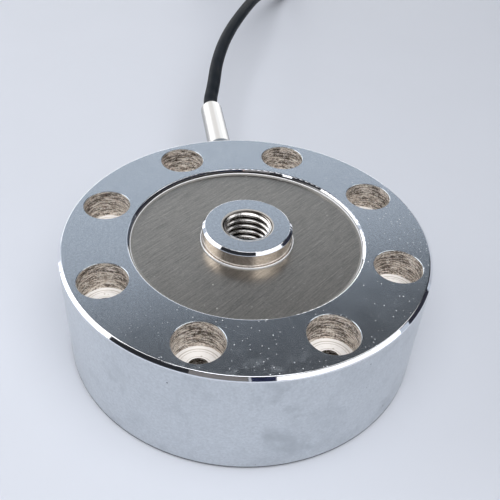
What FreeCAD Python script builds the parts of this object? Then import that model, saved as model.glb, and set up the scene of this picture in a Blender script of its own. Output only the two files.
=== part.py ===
import FreeCAD
import Part
import Sketcher
import math
import os
import re

# Driving dimensions of the load cell, in millimetres and degrees.
driving_sizes = {
    # Ring
    "ring_diameter": 105.0,
    "ring_height": 35.7,
    "ring_edge_chamfer": 0.9,
    "ring_edge_round": 0.4,
    "base_edge_chamfer": 0.5,
    # Recesses for the covers
    "recess_diameter": 66.4,
    "recess_edge_chamfer": 0.5,
    "recess_edge_round": 0.35,
    "cover_seat_width": 2.0,
    "cover_drop": 1.5,
    "base_cover_drop": 1.0,
    "cover_thickness": 1.0,
    "cover_clearance": 0.1,
    "cover_rim_width": 0.75,
    "cover_rim_rise": 0.4,
    # Hub
    "hub_diameter": 25.6,
    "hub_rise": 3.5,
    "hub_edge_chamfer": 0.8,
    "hub_edge_round": 0.25,
    "hub_base_gap": 0.5,
    "hub_core_diameter": 30.0,
    "lip_groove_width": 0.25,
    "lip_groove_depth": 0.3,
    "lip_width": 0.35,
    "lip_rise": 0.45,
    "lip_edge_round": 0.13,
    "thread_diameter": 14.0,
    "thread_mouth_round": 0.4,
    "thread_base_chamfer": 1.0,
    # Spokes and the windows between them
    "spoke_count": 4,
    "spoke_phase": 45.0,
    "spoke_width": 12.0,
    "spoke_base": 5.0,
    "board_space": 3.2,
    "board_ledge_width": 2.2,
    "window_corner_radius": 2.5,
    # Counterbored bolt holes
    "bolt_count": 8,
    "bolt_circle_diameter": 86.2,
    "bolt_phase": 20.75,
    "bolt_hole_diameter": 5.5,
    "counterbore_diameter": 13.5,
    "counterbore_depth": 9.0,
    "counterbore_edge_break": 0.15,
    "cut_overrun": 1.0,
    # Cable entry
    "cable_drop": 9.6,
    "cable_diameter": 5.4,
    "cable_clearance": 0.1,
    "sleeve_diameter": 8.2,
    "sleeve_length": 38.8,
    "sleeve_seat_depth": 10.5,
    "sleeve_edge_chamfer": 0.8,
    "sleeve_clearance": 0.05,
    "collar_diameter": 10.0,
    "collar_length": 8.7,
    "collar_seat_depth": 0.6,
    "collar_edge_chamfer": 0.4,
    "seal_length": 2.0,
    "jacket_reach": 1.0,
    "core_diameter": 1.1,
    "core_spacing": 1.6,
    "core_bend_radius": 1.6,
    "core_start_run": 0.8,
    # Strain gauges and their leads
    "gauge_reach": 20.8,
    "gauge_length": 7.0,
    "gauge_width": 6.0,
    "gauge_thickness": 0.12,
    "solder_pad_size": 0.9,
    "solder_pad_height": 0.6,
    "solder_pad_spacing": 1.8,
    "gauge_wire_diameter": 0.4,
    # Bridge board
    "board_inner_diameter": 44.0,
    "board_thickness": 1.0,
    "board_clearance": 0.3,
    "resistor_length": 3.2,
    "resistor_width": 1.6,
    "resistor_height": 0.6,
    # Coil of the put-away cable
    "coil_diameter": 60.0,
    "coil_layers": 3,
    "coil_turns": 4.8,
    "coil_lead_in": 21.0,
    "tail_angle": 100.0,
    "tail_sink": 0.4,
    "tie_width": 4.0,
    "tie_thickness": 0.8,
    "tie_clearance": 0.2,
    "tie_phase": 230.0,
    "tie_head_size": 5.0,
    # Bare far end
    "lead_length": 38.0,
    "lead_bare_length": 6.0,
    "lead_diameter": 1.2,
    "lead_spacing": 1.4,
    "lead_fan_spacing": 2.2,
    "lead_clearance": 0.1,
    "conductor_diameter": 0.7,
}

# Sizes that follow from the driving ones.
derived_sizes = {
    "ring_radius": "ring_diameter / 2",
    "recess_radius": "recess_diameter / 2",
    "cavity_radius": "recess_radius - cover_seat_width",
    "window_radius": "cavity_radius - board_ledge_width",
    "hub_radius": "hub_diameter / 2",
    "hub_core_radius": "hub_core_diameter / 2",
    "lip_inner_radius": "hub_radius + lip_groove_width",
    "lip_radius": "lip_inner_radius + lip_width",
    "thread_radius": "thread_diameter / 2",
    "hub_top": "ring_height + hub_rise",
    "cover_top": "ring_height - cover_drop",
    "cover_seat": "cover_top - cover_thickness",
    "base_seat": "base_cover_drop + cover_thickness",
    "lip_top": "cover_top + lip_rise",
    "lip_groove_floor": "lip_top - lip_groove_depth",
    "spoke_top": "cover_seat - board_space",
    "spoke_height": "spoke_top - spoke_base",
    "spoke_middle": "spoke_base + spoke_height / 2",
    "half_window": "180 / spoke_count",
    "bolt_radius": "bolt_circle_diameter / 2",
    "counterbore_radius": "counterbore_diameter / 2",
    "counterbore_floor": "ring_height - counterbore_depth",
    "cable_height": "ring_height - cable_drop",
    "cable_radius": "cable_diameter / 2",
    "cable_bore_radius": "cable_radius + cable_clearance",
    "sleeve_radius": "sleeve_diameter / 2",
    "sleeve_hole_radius": "sleeve_radius + sleeve_clearance",
    "sleeve_foot": "ring_radius - sleeve_seat_depth",
    "seal_seat": "sleeve_foot - seal_length",
    "sleeve_mouth": "ring_radius + sleeve_length",
    "collar_radius": "collar_diameter / 2",
    "collar_seat": "ring_radius - collar_seat_depth",
    "collar_end": "ring_radius + collar_length",
    "jacket_end": "window_radius - jacket_reach",
    "pad_line": "gauge_reach + gauge_length / 2 - solder_pad_size",
    "pad_top": "spoke_middle + gauge_width / 2",
    "board_radius": "cavity_radius - board_clearance",
    "board_top": "spoke_top + board_thickness",
    "coil_radius": "coil_diameter / 2",
    "coil_outer_turn": "coil_radius + (coil_layers - 1) / 2 * cable_diameter",
    "coil_outer_radius": "coil_radius + coil_layers / 2 * cable_diameter",
    "coil_inner_radius": "coil_radius - coil_layers / 2 * cable_diameter",
    "coil_base": "tie_thickness + tie_clearance",
    "coil_top": "coil_base + (coil_turns + 1) * cable_diameter",
    "coil_cable_height": "coil_base + cable_radius",
    "tail_height": "coil_top + cable_radius - tail_sink",
}

doc = FreeCAD.newDocument("spoke_load_cell")
sheet = doc.addObject("Spreadsheet::Sheet", "sizes")
for row, (alias, number) in enumerate(driving_sizes.items(), 1):
    sheet.set(f"A{row}", alias)
    sheet.set(f"B{row}", str(number))
    sheet.setAlias(f"B{row}", alias)
doc.recompute()


# Writes an expression of size names out in the sheet's cells.
def in_cells(expression):
    def cell(word):
        name = word.group()
        if name in derived_sizes:
            return "(" + in_cells(derived_sizes[name]) + ")"
        return "sizes." + name if name in driving_sizes else name

    return re.sub(r"[a-z]\w*", cell, expression)


def value(expression):
    return float(sheet.evalExpression(in_cells(expression)))


def bind(thing, **properties):
    for name, expression in properties.items():
        thing.setExpression(name, in_cells(expression))


def origin_feature(body, role):
    return next(feature for feature in body.Origin.OriginFeatures if feature.Role == role)


def new_body(name):
    body = doc.addObject("PartDesign::Body", name)
    body.Label = name
    return body


# A sketch on one of its body's own planes, moved and turned from it.
def new_sketch(body, name, role, turn=None, **offset):
    sketch = body.newObject("Sketcher::SketchObject", name)
    sketch.AttachmentSupport = [(origin_feature(body, role), "")]
    sketch.MapMode = "FlatFace"
    for axis, expression in offset.items():
        sketch.setExpression(f".AttachmentOffset.Base.{axis}", in_cells(expression))
    if turn:
        sketch.setExpression(".AttachmentOffset.Rotation.Angle", in_cells(turn))
    return sketch


def hold(sketch, kind, geometry, point, expression):
    constraint = Sketcher.Constraint(kind, -1, 1, geometry, point, value(expression))
    index = sketch.addConstraint(constraint)
    sketch.setExpression(f"Constraints[{index}]", in_cells(expression))


# A closed outline of straight lines, with every corner held by its own two sizes.
def draw_outline(sketch, corners):
    places = [FreeCAD.Vector(value(x), value(y), 0) for x, y in corners]
    first = sketch.GeometryCount
    for start, end in zip(places, places[1:] + places[:1]):
        sketch.addGeometry(Part.LineSegment(start, end), False)
    for i, (x, y) in enumerate(corners):
        before = first + (i - 1) % len(corners)
        sketch.addConstraint(Sketcher.Constraint("Coincident", before, 2, first + i, 1))
        hold(sketch, "DistanceX", first + i, 1, x)
        hold(sketch, "DistanceY", first + i, 1, y)


def draw_rectangle(sketch, left, right, bottom, top):
    draw_outline(sketch, [(left, bottom), (right, bottom), (right, top), (left, top)])


def draw_circle(sketch, x, y, radius):
    centre = FreeCAD.Vector(value(x), value(y), 0)
    circle = Part.Circle(centre, FreeCAD.Vector(0, 0, 1), value(radius))
    geometry = sketch.addGeometry(circle, False)
    hold(sketch, "DistanceX", geometry, 3, x)
    hold(sketch, "DistanceY", geometry, 3, y)
    index = sketch.addConstraint(Sketcher.Constraint("Radius", geometry, value(radius)))
    sketch.setExpression(f"Constraints[{index}]", in_cells(radius))


# A feature that turns a sketch about the sketch's own upright axis.
def turn_profile(body, kind, name, sketch, angle="360"):
    feature = body.newObject(kind, name)
    feature.Profile = sketch
    feature.ReferenceAxis = (sketch, ["V_Axis"])
    bind(feature, Angle=angle)
    return feature


def pad_profile(body, name, sketch, length, backwards=False):
    feature = body.newObject("PartDesign::Pad", name)
    feature.Profile = sketch
    feature.Reversed = backwards
    bind(feature, Length=length)
    return feature


def repeat_round_axis(body, name, feature, count):
    pattern = body.newObject("PartDesign::PolarPattern", name)
    pattern.Originals = [feature]
    pattern.Axis = (origin_feature(body, "Z_Axis"), [""])
    pattern.Angle = 360
    bind(pattern, Occurrences=count)
    body.Tip = pattern
    doc.recompute()
    return pattern


# Compares a cut with the volume before it, so that a cut that misses the solid stops the build.
def check_cut(before, feature, least=1):
    if feature.Shape.Volume >= before.Shape.Volume - least:
        raise RuntimeError(f"{feature.Name} cuts nothing")


# Ring, hub and spokes, one machined piece
def make_spoke_body():
    body = new_body("spoke_body")
    section = new_sketch(body, "body_section", "XZ_Plane")
    draw_outline(section, [
        ("thread_radius", "hub_base_gap + thread_base_chamfer"),
        ("thread_radius + thread_base_chamfer", "hub_base_gap"),
        ("lip_radius", "hub_base_gap"),
        ("lip_radius", "base_seat"),
        ("hub_core_radius", "base_seat"),
        ("hub_core_radius", "spoke_base"),
        ("cavity_radius", "spoke_base"),
        ("cavity_radius", "base_seat"),
        ("recess_radius", "base_seat"),
        ("recess_radius", "recess_edge_chamfer"),
        ("recess_radius + recess_edge_chamfer", "0"),
        ("ring_radius - base_edge_chamfer", "0"),
        ("ring_radius", "base_edge_chamfer"),
        ("ring_radius", "ring_height - ring_edge_chamfer"),
        ("ring_radius - ring_edge_chamfer", "ring_height"),
        ("recess_radius + recess_edge_chamfer", "ring_height"),
        ("recess_radius", "ring_height - recess_edge_chamfer"),
        ("recess_radius", "cover_seat"),
        ("cavity_radius", "cover_seat"),
        ("cavity_radius", "spoke_top"),
        ("hub_core_radius", "spoke_top"),
        ("hub_core_radius", "cover_seat"),
        ("lip_radius", "cover_seat"),
        ("lip_radius", "lip_top"),
        ("lip_inner_radius", "lip_top"),
        ("lip_inner_radius", "lip_groove_floor"),
        ("hub_radius", "lip_groove_floor"),
        ("hub_radius", "hub_top - hub_edge_chamfer"),
        ("hub_radius - hub_edge_chamfer", "hub_top"),
        ("thread_radius", "hub_top"),
    ])
    blank = turn_profile(body, "PartDesign::Revolution", "blank", section)
    doc.recompute()
    rounded = blank
    for name, size, turned_edges in (
        ("ring_rounds", "ring_edge_round", [
            ("ring_radius - ring_edge_chamfer", "ring_height"),
            ("ring_radius", "ring_height - ring_edge_chamfer"),
        ]),
        ("recess_round", "recess_edge_round", [("recess_radius + recess_edge_chamfer", "ring_height")]),
        ("hub_rounds", "hub_edge_round", [
            ("hub_radius - hub_edge_chamfer", "hub_top"),
            ("hub_radius", "hub_top - hub_edge_chamfer"),
        ]),
        ("mouth_round", "thread_mouth_round", [("thread_radius", "hub_top")]),
        ("lip_rounds", "lip_edge_round", [("lip_radius", "lip_top"), ("lip_inner_radius", "lip_top")]),
    ):
        rounded = round_edges(body, name, rounded, turned_edges, size)
    windows = cut_windows(body, rounded)
    bolt_holes = cut_bolt_holes(body, windows)
    cut_cable_hole(body, bolt_holes)


# Rounds off turned edges, each found by its radius and its height.
def round_edges(body, name, before, turned_edges, size):
    places = [(value(radius), value(height)) for radius, height in turned_edges]
    names = []
    for number, edge in enumerate(before.Shape.Edges, 1):
        point = edge.Vertexes[0].Point
        reach = math.hypot(point.x, point.y)
        if edge.Closed and any(math.dist((reach, point.z), place) < 1e-6 for place in places):
            names.append(f"Edge{number}")
    rounds = body.newObject("PartDesign::Fillet", name)
    rounds.Base = (before, names)
    bind(rounds, Radius=size)
    doc.recompute()
    check_cut(before, rounds, 0)
    return rounds


# One window is bounded by the hub, the ledge under the board and the sides of two spokes.
def cut_windows(body, blank):
    sketch = new_sketch(body, "window_outline", "XY_Plane", turn="spoke_phase + half_window")
    corner = "sqrt({0} ^ 2 - (spoke_width / 2) ^ 2)"
    outline = {}
    for name, radius in (("inner", "hub_core_radius"), ("outer", "window_radius")):
        along = corner.format(radius)
        x = f"{along} * cos(half_window) + spoke_width / 2 * sin(half_window)"
        y = f"{along} * sin(half_window) - spoke_width / 2 * cos(half_window)"
        outline[name] = (x, y, FreeCAD.Vector(value(x), value(y), 0))
    axis = FreeCAD.Vector(0, 0, 1)
    arcs = {}
    for name, (x, y, place) in outline.items():
        swing = math.atan2(place.y, place.x)
        circle = Part.Circle(FreeCAD.Vector(), axis, place.Length)
        arcs[name] = sketch.addGeometry(Part.ArcOfCircle(circle, -swing, swing), False)
        sketch.addConstraint(Sketcher.Constraint("Coincident", arcs[name], 3, -1, 1))
        hold(sketch, "DistanceX", arcs[name], 2, x)
        hold(sketch, "DistanceY", arcs[name], 2, y)
        hold(sketch, "DistanceY", arcs[name], 1, f"-({y})")
    for point, side in ((1, -1), (2, 1)):
        ends = [FreeCAD.Vector(place.x, side * place.y, 0) for _, _, place in outline.values()]
        line = sketch.addGeometry(Part.LineSegment(*ends), False)
        sketch.addConstraint(Sketcher.Constraint("Coincident", line, 1, arcs["inner"], point))
        sketch.addConstraint(Sketcher.Constraint("Coincident", line, 2, arcs["outer"], point))
    window = body.newObject("PartDesign::Pocket", "window")
    window.Profile = sketch
    window.Type = "ThroughAll"
    window.Reversed = True
    doc.recompute()
    check_cut(blank, window)
    windows = repeat_round_axis(body, "windows", window, "spoke_count")
    corners = body.newObject("PartDesign::Fillet", "window_corners")
    corners.Base = (windows, window_corner_edges(windows.Shape))
    bind(corners, Radius="window_corner_radius")
    doc.recompute()
    return corners


# The upright edges where a spoke's side meets the hub or the ring
def window_corner_edges(shape):
    names = []
    for number, edge in enumerate(shape.Edges, 1):
        ends = [vertex.Point for vertex in edge.Vertexes]
        upright = len(ends) == 2 and (ends[0] - ends[1]).cross(FreeCAD.Vector(0, 0, 1)).Length < 1e-6
        if upright and math.hypot(ends[0].x, ends[0].y) < value("cavity_radius") - 1e-6:
            if math.hypot(ends[0].x, ends[0].y) > value("lip_radius") + 1e-6:
                if abs(abs(ends[0].z - ends[1].z) - value("spoke_height")) < 1e-6:
                    if is_window_corner(ends[0]):
                        names.append(f"Edge{number}")
    return names


# A corner lies half a spoke's width from the nearest spoke's axis, which the seams of round faces don't.
def is_window_corner(place):
    step = 360 / value("spoke_count")
    swing = (math.degrees(math.atan2(place.y, place.x)) - value("spoke_phase") + step / 2) % step - step / 2
    aside = abs(math.hypot(place.x, place.y) * math.sin(math.radians(swing)))
    return abs(aside - value("spoke_width / 2")) < 1e-3


# Counterbored holes on the bolt circle, each turned about its own axis
def cut_bolt_holes(body, before):
    sketch = new_sketch(
        body,
        "bolt_hole_section",
        "XZ_Plane",
        x="bolt_radius * cos(bolt_phase)",
        z="-bolt_radius * sin(bolt_phase)",
    )
    draw_outline(sketch, [
        ("0", "-cut_overrun"),
        ("bolt_hole_diameter / 2", "-cut_overrun"),
        ("bolt_hole_diameter / 2", "counterbore_floor"),
        ("counterbore_radius", "counterbore_floor"),
        ("counterbore_radius", "ring_height - counterbore_edge_break"),
        ("counterbore_radius + counterbore_edge_break + cut_overrun", "ring_height + cut_overrun"),
        ("0", "ring_height + cut_overrun"),
    ])
    hole = turn_profile(body, "PartDesign::Groove", "bolt_hole", sketch)
    doc.recompute()
    check_cut(before, hole)
    return repeat_round_axis(body, "bolt_holes", hole, "bolt_count")


# Stepped radial hole for the sleeve and its collar, the seal and the cable
def cut_cable_hole(body, before):
    sketch = new_sketch(body, "cable_hole_section", "XY_Plane", z="cable_height")
    draw_outline(sketch, [
        ("0", "jacket_end"),
        ("cable_bore_radius", "jacket_end"),
        ("cable_bore_radius", "seal_seat"),
        ("sleeve_hole_radius", "seal_seat"),
        ("sleeve_hole_radius", "collar_seat"),
        ("collar_radius + sleeve_clearance", "collar_seat"),
        ("collar_radius + sleeve_clearance", "ring_radius + cut_overrun"),
        ("0", "ring_radius + cut_overrun"),
    ])
    hole = turn_profile(body, "PartDesign::Groove", "cable_hole", sketch)
    doc.recompute()
    check_cut(before, hole)


# Annular cover; its outer rim slopes out against the wall of the recess, away from the spokes.
def make_cover(name, inner_face, outer_face, rim_face):
    body = new_body(name)
    section = new_sketch(body, f"{name}_section", "XZ_Plane")
    draw_outline(section, [
        ("lip_radius + cover_clearance", inner_face),
        ("recess_radius - cover_clearance", inner_face),
        ("recess_radius - cover_clearance", rim_face),
        ("recess_radius - cover_clearance - cover_rim_width", outer_face),
        ("lip_radius + cover_clearance", outer_face),
    ])
    turn_profile(body, "PartDesign::Revolution", f"{name}_disc", section)


# Shear gauge on one side of a spoke, with two solder pads at its outer upper corner
def make_gauge(number, spoke, side):
    name = f"strain_gauge_{number}"
    body = new_body(name)
    face = f"{-side} * spoke_width / 2"
    backing = new_sketch(body, f"{name}_outline", "XZ_Plane", z=face)
    draw_rectangle(
        backing,
        "gauge_reach - gauge_length / 2",
        "gauge_reach + gauge_length / 2",
        "spoke_middle - gauge_width / 2",
        "spoke_middle + gauge_width / 2",
    )
    pad_profile(body, f"{name}_backing", backing, "gauge_thickness", side > 0)
    pads = new_sketch(body, f"{name}_pads", "XZ_Plane", z=face)
    for line in ("pad_line", "pad_line - solder_pad_spacing"):
        draw_rectangle(
            pads,
            f"{line} - solder_pad_size / 2",
            f"{line} + solder_pad_size / 2",
            "pad_top - solder_pad_size",
            "pad_top",
        )
    pad_profile(body, f"{name}_solder", pads, "solder_pad_height", side > 0)
    body.setExpression("Placement.Rotation.Angle", in_cells(f"spoke_phase + {spoke} * 2 * half_window"))


# The two wires that rise from a gauge's solder pads to the board
def make_gauge_leads(number, spoke, side):
    name = f"gauge_leads_{number}"
    wires = []
    for end, line in enumerate(("pad_line", "pad_line - solder_pad_spacing"), 1):
        wire = doc.addObject("Part::Cylinder", f"{name}_wire_{end}")
        bind(wire, Radius="gauge_wire_diameter / 2", Height="spoke_top - pad_top")
        wire.setExpression("Placement.Base.x", in_cells(line))
        offset = f"{side} * (spoke_width / 2 + solder_pad_height / 2)"
        wire.setExpression("Placement.Base.y", in_cells(offset))
        wire.setExpression("Placement.Base.z", in_cells("pad_top"))
        wires.append(wire)
    pair = doc.addObject("Part::Compound", name)
    pair.Label = name
    pair.Links = wires
    pair.setExpression("Placement.Rotation.Angle", in_cells(f"spoke_phase + {spoke} * 2 * half_window"))


# Annular board that rests on the ring's ledge and the spokes' outer ends
def make_bridge_board():
    body = new_body("bridge_board")
    section = new_sketch(body, "bridge_board_section", "XZ_Plane")
    draw_rectangle(section, "board_inner_diameter / 2", "board_radius", "spoke_top", "board_top")
    turn_profile(body, "PartDesign::Revolution", "bridge_board_disc", section)


# Flat chip resistor on the board, at an angle round the board's middle line
def make_resistor(name, angle):
    chip = doc.addObject("Part::Box", name)
    chip.Label = name
    bind(chip, Length="resistor_width", Width="resistor_length", Height="resistor_height")
    middle = "(board_inner_diameter / 2 + board_radius) / 2"
    sideways = "resistor_length / 2"
    inward = f"({middle} - resistor_width / 2)"
    chip.setExpression("Placement.Base.x", in_cells(f"{inward} * cos({angle}) + {sideways} * sin({angle})"))
    chip.setExpression("Placement.Base.y", in_cells(f"{inward} * sin({angle}) - {sideways} * cos({angle})"))
    chip.setExpression("Placement.Base.z", in_cells("board_top"))
    chip.setExpression("Placement.Rotation.Angle", str(angle))


# A round piece along the cable's axis, turned from a profile of (radius, distance from the cell's axis)
def make_cable_round(name, profile):
    body = new_body(name)
    section = new_sketch(body, f"{name}_section", "XY_Plane", z="cable_height")
    draw_outline(section, profile)
    turn_profile(body, "PartDesign::Revolution", f"{name}_round", section)


def make_cable_entry():
    make_cable_round("cable_sleeve", [
        ("cable_bore_radius", "sleeve_foot"),
        ("sleeve_radius", "sleeve_foot"),
        ("sleeve_radius", "collar_seat"),
        ("collar_radius", "collar_seat"),
        ("collar_radius", "collar_end - collar_edge_chamfer"),
        ("collar_radius - collar_edge_chamfer", "collar_end"),
        ("sleeve_radius", "collar_end"),
        ("sleeve_radius", "sleeve_mouth - sleeve_edge_chamfer"),
        ("sleeve_radius - sleeve_edge_chamfer", "sleeve_mouth"),
        ("cable_bore_radius", "sleeve_mouth"),
    ])
    make_cable_round("cable_seal", [
        ("cable_bore_radius", "seal_seat"),
        ("sleeve_radius", "seal_seat"),
        ("sleeve_radius", "sleeve_foot"),
        ("cable_bore_radius", "sleeve_foot"),
    ])
    make_cable_round("cable_entry", [
        ("0", "jacket_end"),
        ("cable_radius", "jacket_end"),
        ("cable_radius", "sleeve_mouth"),
        ("0", "sleeve_mouth"),
    ])


# Straight runs joined by tangent arcs, each as large as its two runs allow
def rounded_route(points, share=0.45):
    edges = []
    radii = []
    start = points[0]
    for before, corner, after in zip(points, points[1:], points[2:]):
        back = (before - corner).normalize()
        on = (after - corner).normalize()
        half_turn = (math.pi - back.getAngle(on)) / 2
        setback = share * min((before - corner).Length, (after - corner).Length)
        radius = setback / math.tan(half_turn)
        middle = corner + (back + on).normalize() * (radius / math.cos(half_turn) - radius)
        edges.append(Part.LineSegment(start, corner + back * setback).toShape())
        edges.append(Part.Arc(corner + back * setback, middle, corner + on * setback).toShape())
        start = corner + on * setback
        radii.append(radius)
    edges.append(Part.LineSegment(start, points[-1]).toShape())
    return Part.Wire(edges), radii


def tube_along(path, diameter):
    start = path.Edges[0]
    outline = Part.Circle(start.valueAt(start.FirstParameter), start.tangentAt(start.FirstParameter), diameter / 2)
    tube = path.makePipeShell([Part.Wire([outline.toShape()])], True, False)
    expected = math.pi * diameter ** 2 / 4 * path.Length
    if abs(tube.Volume - expected) > 0.01 * expected:
        raise RuntimeError(f"the tube's volume is {tube.Volume:.1f} and not {expected:.1f}")
    return tube


def add_shape(name, shape):
    feature = doc.addObject("Part::Feature", name)
    feature.Label = name
    feature.Shape = shape
    return feature


# The cable's cores turn up from the end of its jacket to the underside of the board.
def make_core(name, across, level):
    aside = across * value("core_spacing") / 2
    height = value("cable_height") + level * value("core_spacing") / 2
    bend = value("core_bend_radius")
    straight = value("core_start_run") + (1 - level) / 2 * value("core_spacing")
    jacket_end = value("jacket_end")
    start = FreeCAD.Vector(aside, jacket_end, height)
    turn_start = start - FreeCAD.Vector(0, straight, 0)
    slant = bend * (1 - math.sqrt(0.5))
    turn_middle = turn_start + FreeCAD.Vector(0, -bend * math.sqrt(0.5), slant)
    turn_end = turn_start + FreeCAD.Vector(0, -bend, bend)
    end = FreeCAD.Vector(aside, turn_end.y, value("spoke_top"))
    path = Part.Wire([
        Part.LineSegment(start, turn_start).toShape(),
        Part.Arc(turn_start, turn_middle, turn_end).toShape(),
        Part.LineSegment(turn_end, end).toShape(),
    ])
    add_shape(name, tube_along(path, value("core_diameter")))


# Route of the free cable: straight out of the sleeve, in a slow bend to the side, down to the surface
# that the cell stands on, and on to the coil. Each step is measured from the middle of the sleeve's mouth.
free_steps = (
    (0.0, 0.0, 0.0),
    (0.0, 6.2, 0.0),
    (3.0, 18.7, 0.5),
    (6.8, 39.7, 1.7),
    (15.0, 67.7, 2.5),
    (28.6, 101.7, 1.5),
    (42.0, 136.7, -3.4),
    (55.8, 168.0, -13.3),
)
floor_steps = ((69.0, 193.0), (76.0, 208.0))
mouth = FreeCAD.Vector(0, value("sleeve_mouth"), value("cable_height"))
floor_mouth = FreeCAD.Vector(0, mouth.y, value("coil_cable_height"))
cable_route = [mouth + FreeCAD.Vector(*step) for step in free_steps]
cable_route += [floor_mouth + FreeCAD.Vector(x, y, 0) for x, y in floor_steps]


def make_cable():
    path, radii = rounded_route(cable_route)
    print("cable bend radii", [round(radius, 1) for radius in radii])
    print("cable free length", round(path.Length, 1))
    add_shape("cable", tube_along(path, value("cable_diameter")))


# Centre and turn of the coil, which the route's last run meets as a tangent of the outer turns
def coil_placement(extra_turn=0):
    run = cable_route[-1] - cable_route[-2]
    heading = math.degrees(math.atan2(run.y, run.x))
    onward = FreeCAD.Vector(run.x, run.y, 0).normalize()
    left = FreeCAD.Vector(-onward.y, onward.x, 0)
    end = FreeCAD.Vector(cable_route[-1].x, cable_route[-1].y, 0)
    centre = end + onward * value("coil_lead_in") + left * value("coil_outer_turn")
    turn = FreeCAD.Rotation(FreeCAD.Vector(0, 0, 1), heading - 90 + extra_turn)
    return FreeCAD.Placement(centre, turn)


# The coil's outer shape: a ring of turns, the run that enters it and the tail that lies on top
def make_coil():
    body = new_body("cable_coil")
    section = new_sketch(body, "coil_section", "XZ_Plane")
    draw_rectangle(section, "coil_inner_radius", "coil_outer_radius", "coil_base", "coil_top")
    turns = turn_profile(body, "PartDesign::Revolution", "coil_turns", section)
    doc.recompute()
    rounds = body.newObject("PartDesign::Fillet", "coil_rounds")
    rounds.Base = (turns, [f"Edge{i}" for i, edge in enumerate(turns.Shape.Edges, 1) if len(edge.Vertexes) == 1])
    bind(rounds, Radius="cable_radius - tail_sink")
    entering = new_sketch(body, "coil_lead_in_section", "XZ_Plane")
    draw_circle(entering, "coil_outer_turn", "coil_cable_height", "cable_radius")
    pad_profile(body, "coil_lead_in_run", entering, "coil_lead_in")
    tail = new_sketch(body, "coil_tail_section", "XZ_Plane")
    draw_circle(tail, "coil_radius", "tail_height", "cable_radius")
    turn_profile(body, "PartDesign::Revolution", "coil_tail", tail, "tail_angle")
    body.Placement = coil_placement()


# Strap round the coil's turns, with its locking head on the outside
def make_coil_tie():
    body = new_body("coil_tie")
    strap = new_sketch(body, "tie_section", "XZ_Plane")
    for gap in ("tie_clearance", "tie_clearance + tie_thickness"):
        draw_rectangle(
            strap,
            f"coil_inner_radius - ({gap})",
            f"coil_outer_radius + {gap}",
            f"coil_base - ({gap})",
            f"coil_top + {gap}",
        )
    pad_profile(body, "tie_strap", strap, "tie_width").Midplane = True
    head = new_sketch(body, "tie_head_section", "XZ_Plane")
    head_face = "coil_outer_radius + tie_clearance + tie_thickness"
    draw_rectangle(
        head,
        head_face,
        f"{head_face} + tie_head_size - tie_thickness",
        "coil_top - tie_head_size",
        "coil_top",
    )
    pad_profile(body, "tie_head", head, "tie_width + tie_thickness").Midplane = True
    body.Placement = coil_placement(value("tie_phase"))


# A stripped lead that fans out on top of the coil and ends in a bare conductor. Each station gives how far
# along the lead it is, and how much of the way out and of the way down the lead has gone there.
lead_stations = ((0.0, 0.0, 0.0), (0.12, 0.0, 0.0), (0.42, 0.75, 0.4), (0.72, 1.0, 1.0), (1.0, 1.1, 1.0))


def make_lead(name, across, level, fan_place, size):
    diameter = value(size)
    turn_radius = value("coil_radius")
    start_aside = across * value("lead_spacing") / 2
    start_height = value("tail_height") + level * value("lead_spacing") / 2
    rest_aside = fan_place * value("lead_fan_spacing")
    rest_height = value("coil_top + lead_clearance") + diameter / 2
    points = []
    for along, way_out, way_down in lead_stations:
        angle = math.radians(value("tail_angle")) + along * value("lead_length") / turn_radius
        radius = turn_radius + start_aside + way_out * (rest_aside - start_aside)
        height = start_height + way_down * (rest_height - start_height)
        points.append(FreeCAD.Vector(radius * math.cos(angle), radius * math.sin(angle), height))
    points[1] = points[0] + tail_direction() * (points[1] - points[0]).Length
    path, _ = rounded_route(points)
    lead = tube_along(path, diameter)
    onward = (points[-1] - points[-2]).normalize()
    tip = Part.makeCylinder(value("conductor_diameter") / 2, value("lead_bare_length"), points[-1], onward)
    add_shape(name, lead.fuse(tip)).Placement = coil_placement()


# The way that the cable's tail points where its jacket ends
def tail_direction():
    angle = math.radians(value("tail_angle"))
    return FreeCAD.Vector(-math.sin(angle), math.cos(angle), 0)


make_spoke_body()
make_cover("top_cover", "cover_seat", "cover_top", "cover_top + cover_rim_rise")
make_cover("bottom_cover", "base_seat", "base_cover_drop", "base_cover_drop - cover_rim_rise")
gauge_places = [(spoke, side) for spoke in range(int(value("spoke_count"))) for side in (1, -1)]
for number, (spoke, side) in enumerate(gauge_places, 1):
    make_gauge(number, spoke, side)
    make_gauge_leads(number, spoke, side)
make_bridge_board()
for name, angle in (
    ("zero_balance_resistor", 20),
    ("zero_drift_resistor", 160),
    ("span_resistor_1", 250),
    ("span_resistor_2", 290),
):
    make_resistor(name, angle)
make_cable_entry()
for name, across, level in (
    ("core_red", -1, 1),
    ("core_black", 1, 1),
    ("core_green", -1, -1),
    ("core_white", 1, -1),
):
    make_core(name, across, level)
make_cable()
make_coil()
make_coil_tie()
for name, across, level, fan_place, size in (
    ("lead_red", -1, 1, -1.5, "lead_diameter"),
    ("lead_black", 1, 1, 1.5, "lead_diameter"),
    ("lead_green", -1, -1, -0.5, "lead_diameter"),
    ("lead_white", 1, -1, 0.5, "lead_diameter"),
    ("shield_drain", 0, 0, 0, "conductor_diameter"),
):
    make_lead(name, across, level, fan_place, size)
doc.recompute()

# Every piece is whole before any is written.
node_types = ("PartDesign::Body", "Part::Compound", "Part::Box", "Part::Feature")
nodes = [thing for thing in doc.Objects if thing.TypeId in node_types]
for thing in doc.Objects:
    if "Invalid" in thing.State or "Error" in thing.State:
        raise RuntimeError(f"{thing.Label} is {thing.State}")
for node in nodes:
    if node.Shape.isNull() or not node.Shape.isValid():
        raise RuntimeError(f"{node.Label} has no valid shape")

os.makedirs("parts", exist_ok=True)
for node in nodes:
    node.Shape.exportStep(f"parts/{node.Label}.step")
print(len(nodes), "pieces")
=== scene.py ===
import math

import bpy
from mathutils import Matrix, Vector


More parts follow.
